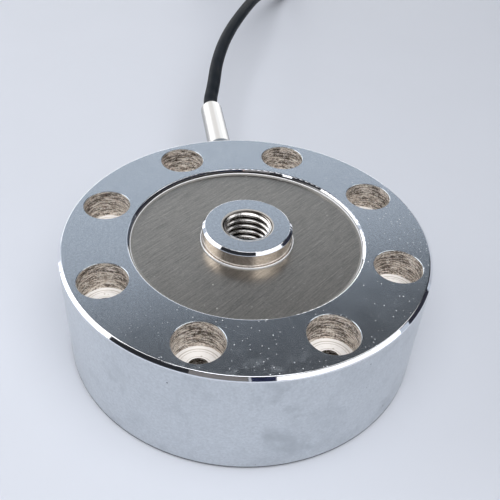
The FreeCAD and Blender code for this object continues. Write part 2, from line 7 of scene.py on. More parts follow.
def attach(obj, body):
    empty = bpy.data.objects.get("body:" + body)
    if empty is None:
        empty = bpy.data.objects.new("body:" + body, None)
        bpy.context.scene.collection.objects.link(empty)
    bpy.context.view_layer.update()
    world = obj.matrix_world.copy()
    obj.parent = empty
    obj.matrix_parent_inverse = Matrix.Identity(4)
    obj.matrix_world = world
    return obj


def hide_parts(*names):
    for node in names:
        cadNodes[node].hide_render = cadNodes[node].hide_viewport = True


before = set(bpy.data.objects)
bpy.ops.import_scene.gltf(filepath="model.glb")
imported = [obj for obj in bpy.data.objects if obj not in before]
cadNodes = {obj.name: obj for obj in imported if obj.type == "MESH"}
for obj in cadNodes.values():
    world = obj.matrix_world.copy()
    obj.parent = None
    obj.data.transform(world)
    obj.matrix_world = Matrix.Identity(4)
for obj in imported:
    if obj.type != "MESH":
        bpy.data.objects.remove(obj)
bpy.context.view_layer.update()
millimetre = 0.001
print("frame loaded,", len(cadNodes), "nodes")


# camera, at the photo's viewing angle

photoCamera = {
    "place": (-0.02833, -0.14873, 0.1565),
    "heading": -11.2,  # degrees off the sleeve's axis
    "tilt": 50.12,  # degrees up from straight down
    "roll": 3.66,
    "lens": 48.96,
    "sensor": 36.0,
}


def makeCamera():
    bpy.ops.object.camera_add()
    camera = bpy.context.object
    camera.name = "photoCamera"
    camera.data.lens = photoCamera["lens"]
    camera.data.sensor_width = photoCamera["sensor"]
    camera.data.clip_start = 0.01
    matrix = Matrix.Translation(photoCamera["place"])
    for key, axis in (("heading", "Z"), ("tilt", "X"), ("roll", "Z")):
        matrix = matrix @ Matrix.Rotation(math.radians(photoCamera[key]), 4, axis)
    camera.matrix_world = matrix
    bpy.context.scene.camera = camera


makeCamera()
print("camera placed")


# node helpers

def join(tree, source, socket):
    if isinstance(source, bpy.types.NodeSocket):
        tree.links.new(source, socket)
    else:
        socket.default_value = source


def put(tree, kind, inputs=None, **settings):
    node = tree.nodes.new("ShaderNode" + kind)
    for key, setting in settings.items():
        setattr(node, key, setting)
    for key, source in (inputs or {}).items():
        join(tree, source, node.inputs[key])
    return node


def calc(tree, operation, *terms):
    return put(tree, "Math", dict(enumerate(terms)), operation=operation).outputs[0]


def rise(tree, field, low, high, under=0.0, over=1.0):  # 0 below low, 1 above high
    ends = {"Value": field, "From Min": low, "From Max": high, "To Min": under, "To Max": over}
    return put(tree, "MapRange", ends, interpolation_type="SMOOTHSTEP").outputs["Result"]


def fall(tree, field, low, high):  # 1 below low, 0 above high
    return rise(tree, field, low, high, 1.0, 0.0)


def ramp(tree, field, start, end):  # 0 at the start, 1 at the end, up or down
    return rise(tree, field, start, end) if start < end else fall(tree, field, end, start)


def scaled(tree, field, low, high):  # a 0 to 1 field spread from low to high
    ends = {"Value": field, "To Min": low, "To Max": high}
    return put(tree, "MapRange", ends).outputs["Result"]


def chain(tree, operation, fields):
    result = fields[0]
    for field in fields[1:]:
        result = calc(tree, operation, result, field)
    return result


def times(tree, *fields):  # where all masks hold, or a share of a mask
    return chain(tree, "MULTIPLY", fields)


def anyOf(tree, *masks):
    return chain(tree, "MAXIMUM", masks)


def layValue(tree, mask, under, over):
    return put(tree, "Mix", {0: mask, 2: under, 3: over}, data_type="FLOAT").outputs[0]


def layColor(tree, mask, under, over):
    under, over = [(*c, 1.0) if isinstance(c, tuple) else c for c in (under, over)]
    return put(tree, "Mix", {0: mask, 6: under, 7: over}, data_type="RGBA").outputs[2]


def layColors(tree, color, finish, **masks):  # colours of the finish, each where its mask holds
    for name, mask in masks.items():
        color = layColor(tree, mask, color, finish[name])
    return color


def tinted(tree, color, tone):
    return put(tree, "VectorMath", {0: color, "Scale": tone}, operation="SCALE").outputs[0]


def noise(tree, vector, scale, detail=2.0, roughness=0.5, distortion=0.0):
    inputs = {"Vector": vector, "Scale": scale, "Detail": detail}
    inputs.update({"Roughness": roughness, "Distortion": distortion})
    return put(tree, "TexNoise", inputs).outputs[0]


def wire(tree, sockets, **sources):  # joins each source to the socket of its name
    for key, source in sources.items():
        join(tree, source, sockets[key.replace("_", " ")])


def newGroup(name, inputs, outputs):
    tree = bpy.data.node_groups.new(name, "ShaderNodeTree")
    for socketName, default in inputs.items():
        socket = tree.interface.new_socket(socketName, in_out="INPUT", socket_type="NodeSocketFloat")
        socket.default_value = default
    for socketName in outputs:
        tree.interface.new_socket(socketName, in_out="OUTPUT", socket_type="NodeSocketFloat")
    return tree, tree.nodes.new("NodeGroupInput").outputs, tree.nodes.new("NodeGroupOutput").inputs


def useGroup(tree, group, **values):
    return put(tree, "Group", values, node_tree=group).outputs


def specks(tree, **values):
    return useGroup(tree, dustSpecks, **values)["Mask"]


def shaderOf(tree):
    return tree.nodes["Principled BSDF"].inputs


def newMaterial(name, **constants):
    material = bpy.data.materials.new(name)
    material.use_nodes = True
    tree = material.node_tree
    wire(tree, shaderOf(tree), **constants)
    return material, tree


def dress(material, color, gloss, relief, metal=0.0):
    tree = material.node_tree
    wire(tree, shaderOf(tree), Base_Color=color, Roughness=gloss, Normal=relief, Metallic=metal)
    return material


def objectPlace(tree):
    return put(tree, "TexCoord").outputs["Object"]


def axes(tree, place):
    return put(tree, "SeparateXYZ", {"Vector": place}).outputs


def spread(tree, **fields):  # a vector from fields along X, Y and Z
    return put(tree, "CombineXYZ", fields).outputs[0]


def flatDistance(tree, x, y):
    squares = [calc(tree, "POWER", c, 2.0) for c in (x, y)]
    return calc(tree, "SQRT", calc(tree, "ADD", *squares))


def bump(tree, height, depth, under=None):  # depth in metres
    inputs = {"Height": height, "Distance": depth, "Strength": 1.0}
    if under:
        inputs["Normal"] = under
    return put(tree, "Bump", inputs).outputs["Normal"]


# shared effects

bolts = {"count": 8, "firstSwing": 20.75, "circleRadius": 43.1}  # degrees, millimetres


def makeCellPolar():  # millimetres from the cell's axis and base, and the swing round the axis
    tree, _, out = newGroup("cellPolar", {}, ("Radius", "Swing", "Height"))
    place = axes(tree, objectPlace(tree))
    radius = calc(tree, "DIVIDE", flatDistance(tree, place[0], place[1]), millimetre)
    swing = calc(tree, "ARCTAN2", place[1], place[0])
    wire(tree, out, Radius=radius, Swing=swing, Height=calc(tree, "DIVIDE", place[2], millimetre))
    return tree


def makeBoltField(cellPolar):  # millimetres from the nearest bolt hole's axis
    tree, _, out = newGroup("boltField", {}, ("Distance", "Outward", "Sideways"))
    polar = useGroup(tree, cellPolar)
    step = math.tau / bolts["count"]
    offset = step / 2 - math.radians(bolts["firstSwing"])
    turned = calc(tree, "FLOORED_MODULO", calc(tree, "ADD", polar["Swing"], offset), step)
    swing = calc(tree, "SUBTRACT", turned, step / 2)
    along = times(tree, polar["Radius"], calc(tree, "COSINE", swing))
    outward = calc(tree, "SUBTRACT", along, bolts["circleRadius"])
    sideways = times(tree, polar["Radius"], calc(tree, "SINE", swing))
    distance = flatDistance(tree, outward, sideways)
    wire(tree, out, Distance=distance, Outward=outward, Sideways=sideways)
    return tree


def makeStraightGrain():  # brushed lines along one heading in the XY plane
    defaults = {"Heading": 0.0, "Lines": 4.0, "Length": 20.0}  # radians, per millimetre, millimetres
    tree, given, out = newGroup("straightGrain", defaults, ("Lines", "Streaks"))
    turn = spread(tree, Z=times(tree, given["Heading"], -1.0))
    turned = put(tree, "Mapping", {"Vector": objectPlace(tree), "Rotation": turn}).outputs[0]
    along = calc(tree, "DIVIDE", 1 / millimetre, given["Length"])
    across = calc(tree, "DIVIDE", given["Lines"], millimetre)
    scale = spread(tree, X=along, Y=across, Z=along)
    stretched = put(tree, "VectorMath", {0: turned, 1: scale}, operation="MULTIPLY").outputs[0]
    lines, streaks = noise(tree, stretched, 1.0, 3.0, 0.6), noise(tree, stretched, 0.22, 2.0, 0.55)
    wire(tree, out, Lines=lines, Streaks=streaks)
    return tree


def makeDustSpecks():  # small bright specks, scattered
    tree, given, out = newGroup("dustSpecks", {"Spacing": 3.0, "Size": 0.12, "Share": 0.4}, ("Mask",))
    scale = calc(tree, "DIVIDE", 1 / millimetre, given["Spacing"])
    cells = put(tree, "TexVoronoi", {"Vector": objectPlace(tree), "Scale": scale})
    chance = put(tree, "SeparateColor", {"Color": cells.outputs["Color"]}).outputs
    radius = times(tree, given["Size"], chance[1])
    inside = calc(tree, "LESS_THAN", cells.outputs["Distance"], radius)
    wire(tree, out, Mask=times(tree, inside, calc(tree, "LESS_THAN", chance[0], given["Share"])))
    return tree


def makeCloudy():  # soft uneven patches
    tree, given, out = newGroup("cloudy", {"Size": 10.0, "Low": 0.4, "High": 0.7}, ("Mask", "Tone"))
    scale = calc(tree, "DIVIDE", 1 / millimetre, given["Size"])
    patches = noise(tree, objectPlace(tree), scale, 4.0, 0.6, 0.3)
    wire(tree, out, Tone=patches, Mask=rise(tree, patches, given["Low"], given["High"]))
    return tree


cellPolar = makeCellPolar()
boltField = makeBoltField(cellPolar)
straightGrain = makeStraightGrain()
dustSpecks = makeDustSpecks()
cloudy = makeCloudy()
print("shared effects ready")


# black jacket of the cable, with the faint lay of its cores

jacketFinish = {
    "black": (0.006, 0.009, 0.0135),
    "dusty": (0.010, 0.0145, 0.0215),
    "roughness": (0.34, 0.50),
    "layMarks": 420.0,  # along the whole cable
}


def makeJacket():
    material, tree = newMaterial("jacket", Specular_IOR_Level=0.03)
    pebble = noise(tree, objectPlace(tree), 5200.0)
    bands = useGroup(tree, cloudy, Size=7.0, Low=0.45, High=0.8)
    surface = axes(tree, put(tree, "TexCoord").outputs["UV"])
    lay = calc(tree, "ADD", times(tree, surface[0], jacketFinish["layMarks"]), surface[1])
    lay = calc(tree, "SINE", times(tree, lay, math.tau))
    color = layColor(tree, bands["Mask"], jacketFinish["black"], jacketFinish["dusty"])
    gloss = scaled(tree, bands["Tone"], *jacketFinish["roughness"])
    relief = bump(tree, pebble, 0.00002, under=bump(tree, lay, 0.00004))
    return dress(material, color, gloss, relief)


jacket = makeJacket()


# cable: free run, straight lead-in, three layers of turns, tail on top

cable = {
    "diameter": 5.4,  # millimetres, as below
    "length": 3.0,  # metres
    "route": [
        (0.0, 91.3, 26.1), (0.0, 97.5, 26.1), (3.0, 110.0, 26.6), (6.8, 131.0, 27.8),
        (15.0, 159.0, 28.6), (28.6, 193.0, 27.6), (42.0, 228.0, 22.7), (55.8, 259.3, 12.8),
        (69.0, 284.3, 3.7), (76.0, 299.3, 3.7),
    ],
    "coilCentre": (52.80, 333.30),
    "coilTurn": -25.02,  # degrees
    "layerRadii": (35.4, 30.0, 24.6),
    "layerTurns": 4.8,
    "pitch": 5.4,
    "floorHeight": 3.7,
    "tailRadius": 30.0,
    "tailHeight": 34.62,
    "tailEnd": 100.0,  # degrees, as below
    "strippedAngle": 172.6,
    "pointsPerTurn": 16,
}


def coilPoint(angle, radius, height):  # angle in degrees, in the coil's own frame
    turned = math.radians(angle + cable["coilTurn"])
    x, y = cable["coilCentre"]
    return (x + radius * math.cos(turned), y + radius * math.sin(turned), height)


def coilPoints():
    step = 360 / cable["pointsPerTurn"]
    widen = 1 / math.cos(math.radians(step / 2))  # the spline runs inside its control points
    layerAngle = 360 * cable["layerTurns"]
    low = cable["floorHeight"]
    high = low + cable["pitch"] * cable["layerTurns"]
    wound = 3 * layerAngle
    tailStart = 360 * math.ceil(wound / 360)
    outerTurn, middleTurn, innerTurn = cable["layerRadii"]
    radii = [
        (0, outerTurn), (layerAngle - 20, outerTurn),
        (layerAngle + 20, middleTurn), (2 * layerAngle - 20, middleTurn),
        (2 * layerAngle + 20, innerTurn), (tailStart - 110, innerTurn),
        (tailStart - 30, cable["tailRadius"]), (tailStart + 180, cable["tailRadius"]),
    ]
    heights = [
        (0, low), (layerAngle, high), (2 * layerAngle, low), (wound, high),
        (tailStart - 80, cable["tailHeight"]), (tailStart + 180, cable["tailHeight"]),
    ]
    points = []
    angle = -step / 2
    while angle < tailStart + cable["tailEnd"] - step / 2:
        points.append(coilPoint(angle, widen * between(radii, angle), between(heights, angle)))
        angle += step
    points.append(coilPoint(tailStart + cable["tailEnd"], cable["tailRadius"], cable["tailHeight"]))
    return points


def between(stations, at):  # straight line between the nearest two stations
    for (start, low), (end, high) in zip(stations, stations[1:]):
        if at <= end:
            return low + (high - low) * max(0.0, at - start) / (end - start)
    return stations[-1][1]


def makeCable():
    curve = bpy.data.curves.new("cableRun", "CURVE")
    curve.dimensions = "3D"
    points = cable["route"] + coilPoints()
    spline = curve.splines.new("NURBS")
    spline.points.add(len(points) - 1)
    for point, place in zip(spline.points, points):
        point.co = (*[millimetre * c for c in place], 1.0)
    spline.order_u = 3
    spline.use_endpoint_u = True
    spline.resolution_u = 6
    curve.bevel_depth = millimetre * cable["diameter"] / 2
    curve.bevel_resolution = 6
    curve.use_fill_caps = True
    curve.materials.append(jacket)
    piece = bpy.data.objects.new("cableRun", curve)
    bpy.context.scene.collection.objects.link(piece)
    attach(piece, "root")
    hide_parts("cable", "cable_coil")
    return piece


cableRun = makeCable()
print("cable laid")


# strap that ties the coil

tie = {
    "swing": 230.0,  # degrees round the coil
    "innerSide": 20.9,  # millimetres from the coil's axis
    "outerSide": 38.3,
    "low": 0.8,  # millimetres, as below
    "high": 32.5,
    "thickness": 0.75,
    "width": 4.0,
    "corner": 2.6,
    "edge": 0.25,
    "headSize": (3.9, 4.8, 4.8),
    "headSunk": 0.1,
    "slotDepth": 1.4,
    "slotReach": 0.7,  # share of the head's height
    "dentMargin": 0.7,
    "dentDepth": 0.4,
    "tailSize": (1.0, 2.8, 3.6),
    "tailSunk": 0.6,
    "tailTaper": 0.7,  # share of its width
    "smoothAngle": 40.0,  # degrees
}


def metres(piece, *keys):
    return [millimetre * piece[key] for key in keys]


def setMode(mode):
    bpy.ops.object.mode_set(mode=mode)


def selectMesh(action="SELECT"):
    bpy.ops.mesh.select_all(action=action)


def deselectAll():
    bpy.ops.object.select_all(action="DESELECT")


def applyPlace():
    bpy.ops.object.transform_apply(location=True, rotation=True, scale=True)


def push(x=0.0, y=0.0, z=0.0):  # extrudes the picked faces
    bpy.ops.mesh.extrude_region_move(TRANSFORM_OT_translate={"value": (x, y, z)})


def faceOut():
    setMode("EDIT")
    selectMesh()
    bpy.ops.mesh.normals_make_consistent(inside=False)
    setMode("OBJECT")


def pick(piece, kind, test):  # selects the vertices or faces whose place passes the test, in edit mode
    setMode("EDIT")
    bpy.ops.mesh.select_mode(type=kind)
    selectMesh("DESELECT")
    setMode("OBJECT")
    if kind == "VERT":
        for vertex in piece.data.vertices:
            vertex.select = test(vertex.co)
    else:
        for face in piece.data.polygons:
            face.select = test(face.center, face.normal)
    setMode("EDIT")


def facesUp(place, normal):
    return normal.z > 0.9


def addModifier(piece, kind, **settings):
    modifier = piece.modifiers.new(kind.lower(), kind)
    for key, setting in settings.items():
        setattr(modifier, key, setting)
    bpy.context.view_layer.objects.active = piece
    bpy.ops.object.modifier_apply(modifier=modifier.name)


def addBlock(place, size):
    bpy.ops.mesh.primitive_cube_add(size=1.0, location=place)
    bpy.context.object.scale = size
    applyPlace()
    return bpy.context.object


def addUpright(place, width, height):  # a plane in XZ
    bpy.ops.mesh.primitive_plane_add(size=1.0, location=place, rotation=(math.pi / 2, 0.0, 0.0))
    bpy.context.object.scale = (width, height, 1.0)
    applyPlace()
    return bpy.context.object


def makeStrap():
    innerSide, outerSide, low, high = metres(tie, "innerSide", "outerSide", "low", "high")
    thickness, corner, width = metres(tie, "thickness", "corner", "width")
    middle = ((innerSide + outerSide) / 2, 0.0, (low + high) / 2)
    strap = addUpright(middle, outerSide - innerSide + 2 * thickness, high - low + 2 * thickness)
    setMode("EDIT")
    selectMesh()
    bpy.ops.mesh.bevel(offset=corner, segments=6, affect="VERTICES")
    selectMesh()
    bpy.ops.mesh.inset(thickness=thickness)
    bpy.ops.mesh.delete(type="FACE")
    setMode("OBJECT")
    addModifier(strap, "SOLIDIFY", thickness=width, offset=0.0)
    return strap


def makeTieHead():
    outerSide, high, thickness, sunk = metres(tie, "outerSide", "high", "thickness", "headSunk")
    slotDepth, dentMargin, dentDepth = metres(tie, "slotDepth", "dentMargin", "dentDepth")
    depth, width, height = [millimetre * c for c in tie["headSize"]]
    across = outerSide + thickness + depth / 2 - sunk
    head = addBlock((across, 0.0, high - height / 2), (depth, width, height))
    pick(head, "FACE", facesUp)
    bpy.ops.mesh.inset(thickness=(depth - slotDepth) / 2)
    push(z=-height * tie["slotReach"])
    pick(head, "FACE", lambda place, normal: normal.x > 0.9 and place.x > across)
    bpy.ops.mesh.inset(thickness=dentMargin)
    push(x=-dentDepth)
    setMode("OBJECT")
    return head


def makeTieTail():  # the strap's free end, which stands up out of the head
    outerSide, high, thickness, sunk = metres(tie, "outerSide", "high", "thickness", "tailSunk")
    across = outerSide + thickness + millimetre * tie["headSize"][0] / 2
    tail = addBlock((across, 0.0, high - sunk), [millimetre * c for c in tie["tailSize"]])
    pick(tail, "FACE", facesUp)
    bpy.ops.transform.resize(value=(1.0, tie["tailTaper"], 1.0), center_override=(across, 0.0, high))
    setMode("OBJECT")
    return tail


def makeCoilTie():
    pieces = []
    for make in (makeStrap, makeTieHead, makeTieTail):
        deselectAll()
        piece = make()
        addModifier(piece, "BEVEL", width=millimetre * tie["edge"], segments=2, limit_method="ANGLE")
        pieces.append(piece)
    deselectAll()
    for piece in pieces:
        piece.select_set(True)
    bpy.context.view_layer.objects.active = pieces[0]
    bpy.ops.object.join()
    coilTie = bpy.context.object
    coilTie.name = "coilTie"
    coilTie.location = [millimetre * c for c in (*cable["coilCentre"], 0.0)]
    coilTie.rotation_euler = (0.0, 0.0, math.radians(cable["coilTurn"] + tie["swing"]))
    applyPlace()
    faceOut()
    bpy.ops.object.shade_smooth_by_angle(angle=math.radians(tie["smoothAngle"]))
    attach(coilTie, "root")
    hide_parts("coil_tie")
    return coilTie


coilTie = makeCoilTie()
print("coil tied")


# right-hand thread in the hub, M14 with a pitch of 2 mm

thread = {
    "pitch": 2.0,  # millimetres, as below
    "rootRadius": 7.03,
    "crestRadius": 6.15,
    "rootWidth": 1.76,
    "crestWidth": 0.7,
    "bottom": 3.2,
    "turns": 19,
    "steps": 72,  # round one turn
    "mouthTop": 39.0,
    "mouthDepth": 0.35,
    "mouthRadius": 6.55,
    "mouthGap": 0.02,
    "mouthSides": 96,
    "cutterFlare": 1.1,  # share of the mouth
    "cutterHeight": 6.0,
    "smoothAngle": 30.0,  # degrees
    "crest": (0.98, 0.96, 0.93),
    # colour of real stain patches, and of the painted shade on the thread's left side
    "stainAndShade": (0.30, 0.255, 0.22),
    # painted shade on the ridge's outer flanks, past the bright band
    "root": (0.10, 0.078, 0.06),
    "brightBand": (6.6, 6.8),  # millimetres from the axis
    "paintedShadeSide": (-0.9, -0.78),  # cosine of the swing, where the thread's left side is painted as shade
    "patchShare": 0.3,
    "sideShare": 0.9,
    "roughness": (0.18, 0.33),
}


def makeRidge():
    root, crest, rootWidth, bottom = metres(thread, "rootRadius", "crestRadius", "rootWidth", "bottom")
    middle = ((root + crest) / 2, 0.0, bottom)
    ridge = addUpright(middle, root - crest, rootWidth)
    pick(ridge, "VERT", lambda place: place.x < middle[0])
    narrow = thread["crestWidth"] / thread["rootWidth"]
    bpy.ops.transform.resize(value=(1.0, 1.0, narrow), center_override=middle)
    selectMesh()
    bpy.ops.mesh.delete(type="ONLY_FACE")
    setMode("OBJECT")
    bpy.context.scene.cursor.location = (0.0, 0.0, 0.0)
    bpy.ops.object.origin_set(type="ORIGIN_CURSOR")
    addModifier(
        ridge,
        "SCREW",
        axis="Z",
        screw_offset=millimetre * thread["pitch"],
        iterations=thread["turns"],
        steps=thread["steps"],
        render_steps=thread["steps"],
        use_smooth_shade=False,
    )
    setMode("EDIT")
    bpy.ops.mesh.select_mode(type="VERT")
    selectMesh("DESELECT")
    bpy.ops.mesh.select_non_manifold()
    bpy.ops.mesh.fill_holes(sides=4)
    faceOut()
    return ridge


def makeMouthCutter():  # countersink, and all that stands above the hub's top
    top, depth, mouth, root = metres(thread, "mouthTop", "mouthDepth", "mouthRadius", "rootRadius")
    bpy.ops.mesh.primitive_cone_add(
        vertices=thread["mouthSides"],
        radius1=mouth,
        radius2=root - millimetre * thread["mouthGap"],
        depth=depth,
        location=(0.0, 0.0, top - depth / 2),
    )
    cutter = bpy.context.object
    applyPlace()
    pick(cutter, "FACE", facesUp)
    flare = thread["cutterFlare"]
    bpy.ops.mesh.extrude_region_move()
    bpy.ops.transform.resize(value=(flare, flare, 1.0), center_override=(0.0, 0.0, top))
    push(z=millimetre * thread["cutterHeight"])
    setMode("OBJECT")
    return cutter


def makeHubThread():
    deselectAll()
    hubThread = makeRidge()
    hubThread.name = "hubThread"
    deselectAll()
    cutter = makeMouthCutter()
    addModifier(hubThread, "BOOLEAN", operation="DIFFERENCE", object=cutter, solver="EXACT")
    bpy.data.objects.remove(cutter)
    deselectAll()
    hubThread.select_set(True)
    bpy.ops.object.shade_smooth_by_angle(angle=math.radians(thread["smoothAngle"]))
    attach(hubThread, "root")
    return hubThread


hubThread = makeHubThread()
print("thread cut,", len(hubThread.data.polygons), "faces")


# plated steel of the spoke body, finished face by face

cellFaces = {  # where the mask of each face starts and is full, in millimetres or as noted
    "top": [("height", 35.6, 35.68), ("radius", 33.84, 33.88)],
    "outerTop": [("radius", 40.0, 50.0)],
    "ringEdge": [("chamfer", 87.08, 87.13)],
    "recess": [("radius", 31.94, 32.0), ("radius", 33.9, 33.84), ("height", 33.0, 33.2)],
    "underEdge": [("height", 35.2, 35.15)],
    "side": [("radius", 52.38, 52.44)],
    # painted shade: a dark band round the ring's foot, next to the floor
    "footShade": [("radius", 51.8, 51.9), ("height", 0.86, 0.72)],
    "hubTop": [("radius", 13.8, 13.6), ("height", 39.1, 39.17)],
    "hubEdge": [("radius", 13.8, 13.6), ("chamfer", 51.05, 51.09)],
    "hubWall": [("radius", 12.57, 12.6), ("radius", 12.87, 12.84), ("chamfer", 51.09, 51.05)],
    # painted shade in the groove between the hub wall and the lip
    "grooveShade": [("radius", 12.83, 12.86), ("radius", 13.03, 13.0), ("height", 34.6, 34.5)],
    "lip": [("radius", 13.8, 13.6), ("radius", 13.0, 13.03)],
    # painted shade on the hole wall in the thread's roots
    "threadRootShade": [("radius", 7.1, 7.02), ("height", 38.8, 38.5)],
    "mouth": [("radius", 7.6, 7.25), ("height", 38.5, 38.8)],
    "bore": [("hole", 6.82, 6.76), ("height", 35.58, 35.5)],
    "boreFloor": [("hole", 6.82, 6.76), ("height", 26.9, 26.76), ("hole", 2.75, 2.85)],
    "boreRim": [("hole", 6.95, 6.9), ("height", 35.5, 35.58)],
    "floorCorner": [("hole", 5.58, 5.7), ("hole", 5.97, 5.85)],
    "scored": [("hole", 6.1, 6.0)],
    "narrowHole": [("hole", 3.2, 2.9)],
    "back": [("sine", 0.5, 0.9)],  # of the swing, as below
    "left": [("cosine", 0.0, -0.4)],
    "dusty": [("dustySide", 1.8, 0.9)],  # radians off that side
    "smeared": [("smearedSide", 0.7, 0.1)],
}
plated = {
    "plate": (0.66, 0.70, 0.735),
    "side": (0.60, 0.632, 0.66),
    "smudge": (0.42, 0.45, 0.475),
    "polished": (0.88, 0.89, 0.92),
    "seam": (0.94, 0.95, 0.97),
    "bore": (0.185, 0.146, 0.117),
    "boreBright": (0.70, 0.60, 0.515),
    "boreGlint": (1.0, 0.955, 0.90),
    "boreShade": (0.075, 0.057, 0.044),
    "boreSoftShade": (0.065, 0.05, 0.04),
    # painted shade: the recess wall is near-black on its back and left sides
    "recessPaintedShade": (0.075, 0.07, 0.075),
    "boreFloor": (1.0, 0.975, 0.955),
    "boreScore": (0.46, 0.41, 0.35),
    # warm cream tint, in part a painted reflection of the brown cover
    "hubWall": (0.97, 0.88, 0.80),
    "mouth": (0.52, 0.50, 0.475),
    # painted shade in the groove
    "grooveShade": (0.30, 0.27, 0.24),
    # painted shade round the ring's foot
    "footShade": (0.035, 0.04, 0.048),
    "pock": (0.12, 0.13, 0.14),
    # painted shade in the thread's roots
    "threadRootShade": (0.24, 0.20, 0.175),
    "dust": (0.78, 0.80, 0.83),
    "grindHeading": math.radians(93),
    "dustySide": -0.85,  # radians round the axis
    "smearedSide": -1.72,
    "toolStreaks": (0.46, 0.46, 3.8),  # per millimetre outward, sideways and up
    "turningMarks": 1.7,  # per millimetre
    "roughness": {
        "top": 0.225, "side": 0.30, "hubTop": 0.2, "hubWall": 0.17, "hollow": 0.45, "polished": 0.045,
        "seam": 0.25, "boreRim": 0.22, "bore": (0.55, 0.3), "matt": 0.5, "dust": 0.7,
    },
    "share": {  # strength of the marks in the colour
        "fineDust": 0.6, "dust": 0.85, "smear": 0.16, "stains": 0.5, "smudge": 0.85,
        "floorStains": 0.45, "scores": 0.68,
    },
    "film": {  # what hides the metal
        "smear": 0.06, "mouth": 0.55, "hubWall": 0.06, "bore": (0.3, 0.8), "seam": (0.65, 0.1),
    },
}


def makeFaceMasks(tree, polar, hole):
    swing = polar["Swing"]
    fields = {
        "radius": polar["Radius"],
        "height": polar["Height"],
        "chamfer": calc(tree, "ADD", polar["Radius"], polar["Height"]),  # even on an outward chamfer
        "hole": hole["Distance"],
        "sine": calc(tree, "SINE", swing),
        "cosine": calc(tree, "COSINE", swing),
    }
    for name in ("dustySide", "smearedSide"):
        fields[name] = calc(tree, "ABSOLUTE", calc(tree, "SUBTRACT", swing, plated[name]))
    face = {}
    for name, limits in cellFaces.items():
        face[name] = times(tree, *[ramp(tree, fields[field], *ends) for field, *ends in limits])
    recessWall = times(tree, face["recess"], face["underEdge"])
    # painted shade on the back and left of the recess wall
    face["recessPaintedShade"] = times(tree, recessWall, anyOf(tree, face["back"], face["left"]))
    face["seam"] = anyOf(tree, recessWall, face["lip"])
    face["hollow"] = anyOf(tree, face["threadRootShade"], face["mouth"])
    face["matt"] = anyOf(tree, face["boreFloor"], face["footShade"])
    face["polished"] = anyOf(tree, face["ringEdge"], face["recess"], face["hubEdge"], face["lip"])
    return face


